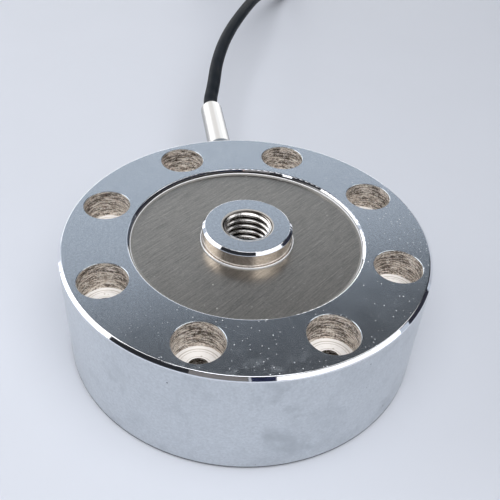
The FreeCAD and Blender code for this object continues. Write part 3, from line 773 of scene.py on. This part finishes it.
def makePlatedSteel():
    material, tree = newMaterial("platedSteel")
    polar, hole = useGroup(tree, cellPolar), useGroup(tree, boltField)
    face = makeFaceMasks(tree, polar, hole)
    rough, share, film = [plated[key] for key in ("roughness", "share", "film")]

    # marks on the faces
    grind = useGroup(tree, straightGrain, Heading=plated["grindHeading"], Lines=2.4, Length=5.0)
    stains = useGroup(tree, cloudy, Size=9.0, Low=0.45, High=0.75)
    haze = useGroup(tree, cloudy, Size=3.0, Low=0.45, High=0.8)
    mottle = useGroup(tree, cloudy, Size=0.7)
    clouds = useGroup(tree, cloudy, Size=16.0, Low=0.5, High=0.72)
    fineDust = specks(tree, Spacing=1.0, Size=0.18, Share=0.85)
    fineDust = times(tree, fineDust, face["dusty"], share["fineDust"])
    bigDust = specks(tree, Spacing=4.0, Size=0.07, Share=0.35)
    dust = times(tree, face["top"], anyOf(tree, fineDust, bigDust))
    smear = times(tree, face["top"], face["smeared"], haze["Mask"], face["outerTop"])
    pocks = specks(tree, Spacing=4.5, Size=0.07, Share=0.4)
    face["pock"] = times(tree, face["side"], pocks)
    smudge = anyOf(tree, times(tree, stains["Mask"], share["stains"]), clouds["Mask"])
    face["smudge"] = times(tree, face["side"], smudge, share["smudge"])

    # streaks that the counterbore tool left on the wall, and rings on the floor
    places = zip("XYZ", (hole["Outward"], hole["Sideways"], polar["Height"]), plated["toolStreaks"])
    streaks = spread(tree, **{axis: times(tree, place, count) for axis, place, count in places})
    grit = noise(tree, objectPlace(tree), 2400.0)
    toolMarks = noise(tree, streaks, 1.0, 5.0, 0.76, 0.15)
    toolMarks = calc(tree, "ADD", toolMarks, scaled(tree, grit, -0.14, 0.14))
    dull = rise(tree, noise(tree, streaks, 0.5), 0.46, 0.6)  # broad streaks, left unburnished
    # painted shade: the narrow through hole takes the dark colour too
    dull = anyOf(tree, dull, face["narrowHole"])
    worn = calc(tree, "SUBTRACT", toolMarks, times(tree, dull, 0.035))
    glints = rise(tree, worn, 0.5, 0.55)
    shades = fall(tree, worn, 0.415, 0.46)
    rings = spread(tree, X=times(tree, hole["Distance"], plated["turningMarks"]))
    turningMarks = noise(tree, rings, 1.0, 3.0, 0.7)
    pits = specks(tree, Spacing=1.2, Size=0.22, Share=0.3)
    floorStains = useGroup(tree, cloudy, Size=0.9, Low=0.54, High=0.7)["Mask"]
    floorStains = times(tree, floorStains, share["floorStains"])
    scores = anyOf(tree, rise(tree, turningMarks, 0.55, 0.59), pits, face["floorCorner"], floorStains)
    scores = times(tree, scores, face["scored"], share["scores"])

    # colour
    tone = times(tree, scaled(tree, stains["Tone"], 0.94, 1.06), scaled(tree, mottle["Tone"], 0.75, 1.25))
    ground = times(tree, tone, scaled(tree, grind["Lines"], 0.92, 1.08))
    color = tinted(tree, plated["plate"], ground)
    color = layColor(tree, face["side"], color, tinted(tree, plated["side"], tone))
    # smudges and pocks are marks; the dark band round the foot is painted shade
    for name in ("smudge", "pock", "footShade"):
        color = layColor(tree, face[name], color, plated[name])
    # the hub wall's warm tint is in part a painted reflection of the brown cover
    hubWall = tinted(tree, plated["hubWall"], scaled(tree, mottle["Tone"], 0.45, 1.45))
    color = layColor(tree, face["hubWall"], color, hubWall)
    # the recess wall's back and left, the groove and the thread roots are painted dark as shade
    for name in ("polished", "seam", "recessPaintedShade", "grooveShade", "threadRootShade", "mouth"):
        color = layColor(tree, face[name], color, plated[name])
    boreWall = layColor(tree, dull, plated["boreBright"], plated["bore"])
    boreMark = layColor(tree, dull, plated["boreSoftShade"], plated["boreShade"])
    boreWall = layColor(tree, glints, boreWall, plated["boreGlint"])
    color = layColor(tree, face["bore"], color, layColor(tree, shades, boreWall, boreMark))
    floorColor = layColor(tree, scores, plated["boreFloor"], plated["boreScore"])
    color = layColor(tree, face["boreFloor"], color, floorColor)
    color = layColor(tree, times(tree, smear, share["smear"]), color, plated["dust"])
    color = layColor(tree, times(tree, dust, share["dust"]), color, plated["dust"])

    # gloss
    gloss = layValue(tree, face["side"], rough["top"], rough["side"])
    gloss = calc(tree, "ADD", gloss, scaled(tree, stains["Tone"], -0.03, 0.04))
    for name in ("hubTop", "hubWall", "hollow", "polished", "seam", "boreRim"):
        gloss = layValue(tree, face[name], gloss, rough[name])
    gloss = layValue(tree, face["bore"], gloss, scaled(tree, toolMarks, *rough["bore"]))
    gloss = layValue(tree, face["matt"], gloss, rough["matt"])
    gloss = layValue(tree, anyOf(tree, times(tree, smear, 0.15), dust), gloss, rough["dust"])
    boreFilm = times(tree, face["bore"], layValue(tree, glints, *film["bore"]))
    seamFilm = times(tree, face["seam"], layValue(tree, face["recessPaintedShade"], *film["seam"]))
    thinFilms = [times(tree, face[name], film[name]) for name in ("mouth", "hubWall")]
    thinFilms.append(times(tree, smear, film["smear"]))
    covered = anyOf(tree, dust, face["matt"], boreFilm, seamFilm, *thinFilms)
    metal = calc(tree, "SUBTRACT", 1.0, covered)

    # relief
    relief = times(tree, grind["Lines"], face["top"], 0.02)
    relief = layValue(tree, face["bore"], relief, toolMarks)
    relief = layValue(tree, face["boreFloor"], relief, times(tree, turningMarks, 0.2))
    relief = bump(tree, relief, 0.0004)
    return dress(material, color, gloss, relief, metal)


# brushed steel of the covers

cover = {
    "steel": (0.49, 0.456, 0.408),
    "scratch": (0.78, 0.76, 0.73),
    "slope": (0.235, 0.23, 0.22),
    "rim": (0.86, 0.86, 0.88),
    "dust": (0.75, 0.74, 0.72),
    "slopeRadius": (32.33, 32.37),  # millimetres from the axis
    "rimRadius": (32.84, 32.9),
    "grainHeading": math.radians(40),
    "scratches": [(0.0, 1.4, 12.0), (-52.0, 0.6, 4.0), (67.0, 0.7, 4.0)],  # turn, lines and length
    "scratchShare": 0.4,
    "hairShare": 0.17,
    "dustShare": 0.7,
}


def makeCoverSteel():
    material, tree = newMaterial("coverSteel", Specular_Tint=(0.25, 0.25, 0.25, 1.0))
    radius, heading = useGroup(tree, cellPolar)["Radius"], cover["grainHeading"]
    grain = useGroup(tree, straightGrain, Heading=heading, Lines=3.2, Length=9.0)
    hairs = useGroup(tree, straightGrain, Heading=heading, Lines=2.9, Length=5.0)["Lines"]
    patches = useGroup(tree, cloudy, Size=14.0)
    slope = rise(tree, radius, *cover["slopeRadius"])
    rim = rise(tree, radius, *cover["rimRadius"])
    dust = specks(tree, Spacing=1.5, Size=0.15, Share=0.3)
    scratches = []
    for turn, lines, length in cover["scratches"]:
        crossed = heading + math.radians(turn)
        marks = useGroup(tree, straightGrain, Heading=crossed, Lines=lines, Length=length)["Lines"]
        scratches.append(rise(tree, marks, 0.69, 0.74))
    scratch = times(tree, anyOf(tree, *scratches), cover["scratchShare"])
    hairTone = calc(tree, "SUBTRACT", rise(tree, hairs, 0.54, 0.64), fall(tree, hairs, 0.36, 0.46))
    streaks = grain["Streaks"]
    tone = times(tree, scaled(tree, grain["Lines"], 0.66, 1.34), scaled(tree, streaks, 0.97, 1.03))
    tone = calc(tree, "ADD", tone, times(tree, hairTone, cover["hairShare"]))
    grit = noise(tree, objectPlace(tree), 2200.0)
    tone = times(tree, tone, scaled(tree, patches["Tone"], 0.96, 1.04), scaled(tree, grit, 0.7, 1.3))
    dusty = times(tree, dust, cover["dustShare"])
    color = tinted(tree, cover["steel"], tone)
    color = layColors(tree, color, cover, scratch=scratch, dust=dusty, slope=slope, rim=rim)
    gloss = layValue(tree, slope, scaled(tree, streaks, 0.28, 0.34), 0.35)
    gloss = layValue(tree, dust, gloss, 0.6)
    metal = calc(tree, "SUBTRACT", 1.0, anyOf(tree, dust, times(tree, slope, 0.85)))
    relief = bump(tree, grain["Lines"], 0.000010)
    return dress(material, color, gloss, relief, metal)


# bright plate of the sleeve, duller on its collar; painted shade low on its sides and along its right
# edge, and a painted reflection stripe

sleeve = {
    "plate": (0.98, 0.965, 0.94),
    "worn": (0.90, 0.88, 0.855),
    "dull": (0.40, 0.385, 0.36),  # painted shade, low on its sides
    # painted reflection: a grey stripe along the sleeve
    "streak": (0.66, 0.62, 0.575),
    "shaded": (0.10, 0.10, 0.11),
    "collar": (0.27, 0.29, 0.31),
    "streakPlace": (-1.9, -1.1, -0.3, 0.5),  # millimetres across: start, full from and to, end
    "shadedPlace": (3.2, 3.6),  # millimetres across
    "dullHeight": (27.2, 29.2),  # millimetres, as below
    "collarEnd": (61.0, 61.1),
    "ringPitch": 0.25,
    "streakShare": 0.6,
    "roughness": 0.22,
    "collarRoughness": 0.34,
    "polishedMetal": 0.22,
}


def makeBrightPlate():
    material, tree = newMaterial("brightPlate")
    across, along, height = [calc(tree, "DIVIDE", c, millimetre) for c in axes(tree, objectPlace(tree))]
    rings = noise(tree, spread(tree, Y=calc(tree, "DIVIDE", along, sleeve["ringPitch"])), 1.0)
    wear = useGroup(tree, cloudy, Size=6.0, Low=0.5, High=0.8)
    collar = fall(tree, along, *sleeve["collarEnd"])
    # painted shade low on the sleeve's sides
    dull = fall(tree, height, *sleeve["dullHeight"])
    shaded = rise(tree, across, *sleeve["shadedPlace"])
    start, full, fade, end = sleeve["streakPlace"]
    # painted reflection: a grey stripe along the sleeve
    streak = times(tree, rise(tree, across, start, full), fall(tree, across, fade, end))
    streak = times(tree, streak, sleeve["streakShare"])
    color = layColor(tree, wear["Mask"], sleeve["plate"], sleeve["worn"])
    color = layColors(tree, color, sleeve, streak=streak, dull=dull, shaded=shaded, collar=collar)
    gloss = layValue(tree, collar, sleeve["roughness"], sleeve["collarRoughness"])
    gloss = calc(tree, "ADD", gloss, scaled(tree, wear["Mask"], 0.0, 0.06))
    metal = layValue(tree, anyOf(tree, dull, collar), sleeve["polishedMetal"], 1.0)
    relief = bump(tree, rings, 0.000002)
    return dress(material, color, gloss, relief, metal)


# steel of the thread, with painted shade on the ridge's outer flanks and on its left side

def makeThreadSteel():
    material, tree = newMaterial("threadSteel")
    polar = useGroup(tree, cellPolar)
    stains = useGroup(tree, cloudy, Size=2.4, Low=0.5, High=0.75)
    crest = fall(tree, polar["Radius"], *thread["brightBand"])
    # painted shade: the thread's left side is painted dark
    paintedShadeSide = fall(tree, calc(tree, "COSINE", polar["Swing"]), *thread["paintedShadeSide"])
    patches = times(tree, stains["Mask"], thread["patchShare"])
    # real stain patches, joined with the painted shade on the left side
    worn = anyOf(tree, patches, times(tree, paintedShadeSide, thread["sideShare"]))
    color = layColor(tree, worn, thread["crest"], thread["stainAndShade"])
    # painted shade: the ridge is painted dark outside the bright band
    color = layColor(tree, crest, thread["root"], color)
    gloss = scaled(tree, stains["Tone"], *thread["roughness"])
    relief = bump(tree, noise(tree, objectPlace(tree), 2600.0, 3.0), 0.00002)
    return dress(material, color, gloss, relief, 1.0)


# plain finishes, each with its own grain; sizes in millimetres

coreGrain = {"roughness": 0.36, "patch": 3.0, "grain": 0.2, "depth": 0.006}
plainFinishes = {
    "sealRubber": {
        "color": (0.018, 0.018, 0.019), "mark": (0.035, 0.034, 0.033),
        "roughness": 0.62, "patch": 2.0, "grain": 0.25, "depth": 0.02,
    },
    "enamelledCopper": {
        "color": (0.56, 0.22, 0.08), "mark": (0.40, 0.14, 0.05),
        "roughness": 0.25, "patch": 1.5, "grain": 0.12, "depth": 0.004, "metal": 1.0,
    },
    "redCore": {**coreGrain, "color": (0.46, 0.014, 0.012), "mark": (0.38, 0.012, 0.012)},
    "blackCore": {
        **coreGrain, "color": (0.012, 0.012, 0.013), "mark": (0.024, 0.024, 0.025), "roughness": 0.38,
    },
    "greenCore": {**coreGrain, "color": (0.014, 0.21, 0.05), "mark": (0.012, 0.17, 0.045)},
    "whiteCore": {**coreGrain, "color": (0.76, 0.76, 0.73), "mark": (0.68, 0.67, 0.63)},
    "tinnedWire": {
        "color": (0.70, 0.69, 0.66), "mark": (0.56, 0.54, 0.50),
        "roughness": 0.3, "patch": 1.0, "grain": 0.15, "depth": 0.012, "metal": 1.0,
    },
    "tieNylon": {
        "color": (0.016, 0.016, 0.017), "mark": (0.03, 0.03, 0.031),
        "roughness": 0.44, "patch": 4.0, "grain": 0.3, "depth": 0.012,
    },
}


def grainRelief(tree, finish):
    grain = noise(tree, objectPlace(tree), 1 / (millimetre * finish["grain"]))
    return bump(tree, grain, millimetre * finish["depth"])


def makePlainFinish(name):
    finish = plainFinishes[name]
    material, tree = newMaterial(name)
    patches = useGroup(tree, cloudy, Size=finish["patch"])
    color = layColor(tree, patches["Mask"], finish["color"], finish["mark"])
    gloss = scaled(tree, patches["Tone"], finish["roughness"] - 0.06, finish["roughness"] + 0.06)
    return dress(material, color, gloss, grainRelief(tree, finish), finish.get("metal", 0.0))


# insulated lead, stripped to the tinned strands past an angle round the coil

def makeLeadFinish(name, core):
    finish, strands = plainFinishes[core], plainFinishes["tinnedWire"]
    material, tree = newMaterial(name)
    centre = zip(axes(tree, objectPlace(tree)), cable["coilCentre"])
    x, y = [calc(tree, "SUBTRACT", place, millimetre * c) for place, c in centre]
    swing = calc(tree, "FLOORED_MODULO", calc(tree, "ARCTAN2", y, x), math.tau)
    stripped = math.radians(cable["strippedAngle"] + cable["coilTurn"])
    bare = rise(tree, swing, stripped, stripped + 0.004)
    patches = useGroup(tree, cloudy, Size=2.0)
    color = layColor(tree, patches["Mask"], finish["color"], finish["mark"])
    tin = layColor(tree, patches["Mask"], strands["color"], strands["mark"])
    color = layColor(tree, bare, color, tin)
    gloss = layValue(tree, bare, finish["roughness"], strands["roughness"])
    gloss = calc(tree, "ADD", gloss, times(tree, patches["Tone"], 0.08))
    return dress(material, color, gloss, grainRelief(tree, finish), bare)


# strain gauge: amber film, etched foil grid at 45 degrees, tinned pads

gauge = {
    "film": (0.50, 0.24, 0.04),
    "foil": (0.50, 0.40, 0.28),
    "solder": (0.70, 0.69, 0.66),
    "middle": (20.8, 17.5),  # millimetres out and up, as below
    "half": (2.4, 2.0),
    "solderPlace": (6.13, 6.15),  # aside of the spoke's middle
    "lines": 16.0,  # radians per millimetre
}


def makeGaugeFilm():
    material, tree = newMaterial("gaugeFilm")
    polar = useGroup(tree, cellPolar)
    turned = calc(tree, "FLOORED_MODULO", polar["Swing"], math.tau / 4)
    swing = calc(tree, "SUBTRACT", turned, math.tau / 8)
    along = times(tree, polar["Radius"], calc(tree, "COSINE", swing))
    aside = calc(tree, "ABSOLUTE", times(tree, polar["Radius"], calc(tree, "SINE", swing)))
    (middle, level), (halfLength, halfHeight) = gauge["middle"], gauge["half"]
    right = calc(tree, "SUBTRACT", along, middle)
    up = calc(tree, "SUBTRACT", polar["Height"], level)
    slant = calc(tree, "ADD", calc(tree, "ABSOLUTE", right), up)
    lines = rise(tree, calc(tree, "SINE", times(tree, slant, gauge["lines"])), -0.1, 0.1)
    inside = []
    for field, half in ((right, halfLength), (up, halfHeight)):
        inside.append(fall(tree, calc(tree, "ABSOLUTE", field), half, half + 0.05))
    foil = times(tree, lines, *inside)
    solder = rise(tree, aside, *gauge["solderPlace"])
    patches = useGroup(tree, cloudy, Size=3.0)
    film = tinted(tree, gauge["film"], scaled(tree, patches["Tone"], 0.85, 1.15))
    color = layColors(tree, film, gauge, foil=foil, solder=solder)
    gloss = scaled(tree, patches["Tone"], 0.22, 0.4)
    metal, relief = anyOf(tree, foil, solder), bump(tree, foil, 0.00001)
    return dress(material, color, gloss, relief, metal)


# bridge board: green resist over ring tracks, with tinned pads scattered over it

board = {
    "resist": (0.012, 0.14, 0.05),
    "track": (0.02, 0.20, 0.075),
    "pad": (0.72, 0.70, 0.66),
    "trackWaves": 4.2,  # radians per millimetre outward
    "trackBreaks": 6.0,  # round the board
}


def makeBoard():
    material, tree = newMaterial("boardResist")
    polar = useGroup(tree, cellPolar)
    weave = noise(tree, objectPlace(tree), 1800.0)
    waves = calc(tree, "SINE", times(tree, polar["Radius"], board["trackWaves"]))
    breaks = calc(tree, "SINE", times(tree, polar["Swing"], board["trackBreaks"]))
    track = times(tree, rise(tree, waves, 0.3, 0.4), rise(tree, breaks, -0.4, -0.38))
    pads = specks(tree, Spacing=3.2, Size=0.2, Share=0.35)
    color = layColors(tree, board["resist"], board, track=track, pad=pads)
    gloss = scaled(tree, weave, 0.2, 0.42)
    relief = bump(tree, track, 0.00003)
    return dress(material, color, gloss, relief, pads)


# chip resistor: dark fired film with bright ends

chip = {
    "film": (0.022, 0.023, 0.026),
    "ends": (0.72, 0.71, 0.69),
    "endPlace": (1.1, 1.15),  # millimetres from its middle
}
resistorSwings = {  # degrees round the board
    "zero_balance_resistor": 20,
    "zero_drift_resistor": 160,
    "span_resistor_1": 250,
    "span_resistor_2": 290,
}


def makeChip(name, swing):
    material, tree = newMaterial(name)
    turn = (0.0, 0.0, -math.radians(swing))
    turned = put(tree, "Mapping", {"Vector": objectPlace(tree), "Rotation": turn}).outputs[0]
    across = calc(tree, "DIVIDE", axes(tree, turned)[1], millimetre)
    ends = rise(tree, calc(tree, "ABSOLUTE", across), *chip["endPlace"])
    grain = noise(tree, objectPlace(tree), 6000.0, 3.0)
    film = tinted(tree, chip["film"], scaled(tree, grain, 0.7, 1.3))
    color = layColor(tree, ends, film, chip["ends"])
    gloss = scaled(tree, grain, 0.25, 0.5)
    relief = bump(tree, grain, 0.00001)
    return dress(material, color, gloss, relief, ends)


def finishNodes(material, *names):
    for name in names:
        cadNodes[name].material_slots[0].material = material


def finishCell():
    finishNodes(makePlatedSteel(), "spoke_body")
    finishNodes(makeCoverSteel(), "top_cover", "bottom_cover")
    finishNodes(makeBrightPlate(), "cable_sleeve")
    finishNodes(jacket, "cable_entry")
    finishNodes(makePlainFinish("sealRubber"), "cable_seal")
    finishNodes(makeGaugeFilm(), *[f"strain_gauge_{i}" for i in range(1, 9)])
    finishNodes(makePlainFinish("enamelledCopper"), *[f"gauge_leads_{i}" for i in range(1, 9)])
    finishNodes(makeBoard(), "bridge_board")
    for node, swing in resistorSwings.items():
        finishNodes(makeChip(node + "Film", swing), node)
    for core in ("red", "black", "green", "white"):
        finishNodes(makePlainFinish(core + "Core"), "core_" + core)
        finishNodes(makeLeadFinish(core + "Lead", core + "Core"), "lead_" + core)
    finishNodes(makePlainFinish("tinnedWire"), "shield_drain")


def finishNewPieces():
    for piece, material in ((hubThread, makeThreadSteel()), (coilTie, makePlainFinish("tieNylon"))):
        piece.data.materials.clear()
        piece.data.materials.append(material)


finishCell()
finishNewPieces()
print("finishes ready")


# studio: pale floor and surroundings, soft panels, cards that only reflections see

studio = {
    "floor": (0.665, 0.695, 0.77),
    "floorSides": 96,
    "floorRadius": 2.0,  # metres, as below
    "floorDrop": 0.0002,
    "floorFade": (0.8, 1.7),  # where the floor runs out into the surroundings
    "surroundings": (0.53, 0.585, 0.67),
    "fill": (0.19, 0.194, 0.20),
    "dimPlace": (-0.02, 0.12),  # across, where the floor is painted darker towards the right, as shade
    "dimmed": 0.92,
    "aim": (0.0, 0.0, 0.02),
    "panels": {  # swing and lift in degrees, distance and size in metres, brightness
        "leftPanel": {"swing": 163.0, "lift": 24.0, "distance": 1.1, "size": (0.90, 0.85), "glow": 1.4},
        "rightPanel": {
            "swing": -44.0, "lift": 31.5, "distance": 1.25, "size": (1.62, 0.94), "glow": 1.2,
            "lights": False,
        },
        "topPanel": {
            "swing": -88.0, "lift": 65.0, "distance": 1.5, "size": (1.7, 1.7), "glow": 2.95,
            "mirrored": False,
        },
    },
}


def direction(swing, lift):
    a, e = math.radians(swing), math.radians(lift)
    return Vector((math.cos(a) * math.cos(e), math.sin(a) * math.cos(e), math.sin(e)))


def makeFloor():
    bpy.ops.mesh.primitive_circle_add(
        vertices=studio["floorSides"],
        radius=studio["floorRadius"],
        fill_type="NGON",
        location=(0.0, 0.0, -studio["floorDrop"]),
    )
    floor = bpy.context.object
    floor.name = "floor"
    material, tree = newMaterial("floorSheet", Roughness=0.6)
    patches = useGroup(tree, cloudy, Size=60.0)
    place = axes(tree, objectPlace(tree))
    # painted shade: the floor is darkened towards the right
    dimmed = scaled(tree, rise(tree, place[0], *studio["dimPlace"]), 1.0, studio["dimmed"])
    shade = tinted(tree, studio["floor"], times(tree, dimmed, scaled(tree, patches["Tone"], 0.98, 1.02)))
    fade = rise(tree, flatDistance(tree, place[0], place[1]), *studio["floorFade"])
    shade = layColor(tree, fade, shade, (0.0, 0.0, 0.0))
    glow = (*studio["surroundings"], 1.0)
    wire(tree, shaderOf(tree), Base_Color=shade, Emission_Color=glow, Emission_Strength=fade)
    floor.data.materials.append(material)


def makePanels():
    for name, panel in studio["panels"].items():
        away = direction(panel["swing"], panel["lift"])
        bpy.ops.object.light_add(type="AREA", location=Vector(studio["aim"]) + away * panel["distance"])
        lamp = bpy.context.object
        lamp.name = name
        lamp.rotation_euler = away.to_track_quat("Z", "Y").to_euler()
        lamp.data.shape = "RECTANGLE"
        lamp.data.size, lamp.data.size_y = panel["size"]
        lamp.data.energy = panel["glow"] * math.pi * panel["size"][0] * panel["size"][1]
        lamp.visible_camera = False
        lamp.visible_glossy = panel.get("mirrored", True)
        lamp.visible_diffuse = panel.get("lights", True)


def makeSurroundings():
    world = bpy.data.worlds.new("surroundings")
    world.use_nodes = True
    tree = world.node_tree
    rays = put(tree, "LightPath").outputs
    seen = anyOf(tree, rays["Is Camera Ray"], rays["Is Glossy Ray"], rays["Is Transmission Ray"])
    shade = layColor(tree, seen, studio["fill"], studio["surroundings"])
    join(tree, shade, tree.nodes["Background"].inputs["Color"])
    bpy.context.scene.world = world


# corners in metres, or spans of swing and lift in degrees, at a distance

cards = {
    "ceilingCard": {
        "corners": [(-3.4, -3.3, 1.55), (3.0, -3.3, 1.55), (-3.4, 0.97, 1.55), (3.0, 2.06, 1.55)],
        "shade": (0.05, 0.05, 0.055),
    },
    "rightCard": {"span": (-4.0, 31.0, 2.0, 28.0, 1.35), "shade": (0.03, 0.03, 0.045)},
    "backCard": {"span": (31.0, 57.0, 0.0, 27.0, 1.65), "shade": (0.1, 0.11, 0.13)},
    "brownCard": {"span": (-128.0, -96.0, 32.0, 42.5, 1.2), "shade": (0.34, 0.31, 0.285)},
    "tickCard": {"span": (-95.5, -94.0, 32.0, 42.5, 1.2), "shade": (0.95, 0.95, 0.95)},
    "navyCard": {"span": (-94.0, -80.0, 30.0, 44.0, 1.2), "shade": (0.02, 0.025, 0.07)},
    "cornerCard": {
        "corners": [
            (0.575, -0.575, 0.813), (0.964, 0.034, 0.626), (0.407, -0.407, 0.996), (0.575, 0.02, 0.996),
        ],
        "shade": (0.03, 0.033, 0.045),
    },
    "highBrownCard": {"span": (-125.0, -93.0, 52.0, 63.0, 1.1), "shade": (0.34, 0.31, 0.285)},
    "highTickCard": {"span": (-92.5, -90.5, 52.0, 63.0, 1.1), "shade": (0.7, 0.5, 0.42)},
    "highNavyCard": {"span": (-90.0, -60.0, 52.0, 63.0, 1.1), "shade": (0.02, 0.025, 0.05)},
    "highGlow": {"span": (-152.0, -141.0, 51.0, 60.0, 1.1), "shade": (1.0, 1.0, 1.0), "glow": 1.0},
    "lowGlow": {"span": (57.0, 128.0, 0.0, 17.0, 1.6), "shade": (1.0, 1.0, 0.98), "glow": 1.35},
    "horizonGlow": {"span": (120.0, 165.0, 0.0, 3.0, 1.3), "shade": (0.97, 0.98, 1.0), "glow": 0.75},
    "leftSkyGlow": {"span": (6.0, 40.0, 42.0, 70.0, 1.1), "shade": (1.0, 0.99, 0.97), "glow": 1.0},
    "rightSkyGlow": {"span": (128.0, 174.0, 22.0, 68.0, 1.1), "shade": (1.0, 0.99, 0.97), "glow": 1.15},
    "zenithGlow": {
        "corners": [(-0.35, -0.35, 1.2), (0.35, -0.35, 1.2), (-0.35, 0.35, 1.2), (0.35, 0.35, 1.2)],
        "shade": (1.0, 1.0, 1.0), "glow": 1.6,
    },
}


def makeCard(name, corners, shade, glow):
    bpy.ops.mesh.primitive_plane_add(size=1.0)
    card = bpy.context.object
    card.name = name
    for vertex, corner in zip(card.data.vertices, corners):
        vertex.co = corner
    shade = (*shade, 1.0)
    cloth = {"Base_Color": shade, "Roughness": 1.0, "Emission_Color": shade, "Emission_Strength": glow}
    card.data.materials.append(newMaterial(name + "Cloth", **cloth)[0])
    card.visible_camera = card.visible_diffuse = card.visible_shadow = False


def makeCards():
    for name, card in cards.items():
        corners = card.get("corners")
        if "span" in card:
            start, end, low, high, distance = card["span"]
            corners = [direction(a, e) * distance for e in (low, high) for a in (start, end)]
        makeCard(name, corners, card["shade"], card.get("glow", 0.0))


makeFloor()
makePanels()
makeSurroundings()
makeCards()
bpy.context.scene.view_settings.view_transform = "Standard"
print("studio ready")
